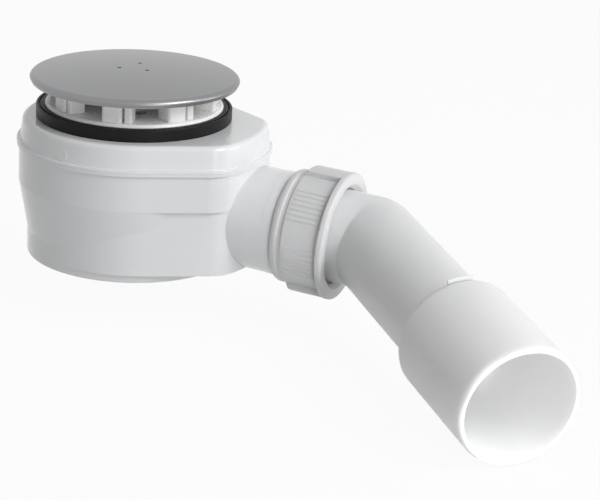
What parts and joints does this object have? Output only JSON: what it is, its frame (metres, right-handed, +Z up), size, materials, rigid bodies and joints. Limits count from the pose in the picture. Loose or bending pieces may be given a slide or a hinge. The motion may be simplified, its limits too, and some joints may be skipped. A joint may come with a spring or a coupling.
{
  "type": "shower trap",
  "caption": "Shower tray trap with a domed metal cover, white housing, black tray seal, union nut and a dipping outlet bend.",
  "frame": {"origin": "on the drain axis, level with the underside of the bowl's foot", "axes": "+Z up along the drain axis, +X along the outlet from the bowl towards the union nut; the outlet falls 3 degrees, and its bend turns 45 degrees towards -Y and dips"},
  "size_m": [0.3504, 0.2086, 0.1322],
  "materials": {
    "satin_metal": "fine matte metal",
    "white_gloss": "glossy moulded plastic",
    "white_satin": "satin moulded plastic",
    "black_rubber": "smooth rubber",
    "natural_plastic": "plain moulded plastic"
  },
  "bodies": {
    "root": {"cover_plate": "satin_metal", "cover_carrier": "white_gloss", "clamping_flange": "white_gloss", "flange_gasket": "black_rubber", "tray_seal": "black_rubber", "strainer_tube": "white_gloss", "strainer_o_ring": "black_rubber", "trap_cup": "white_gloss", "housing_cap": "white_gloss", "housing_bowl": "white_gloss", "union_nut": "white_satin", "cone_seal": "black_rubber", "slip_washer": "natural_plastic", "outlet_bend": "white_satin"}
  },
  "joints": []
}
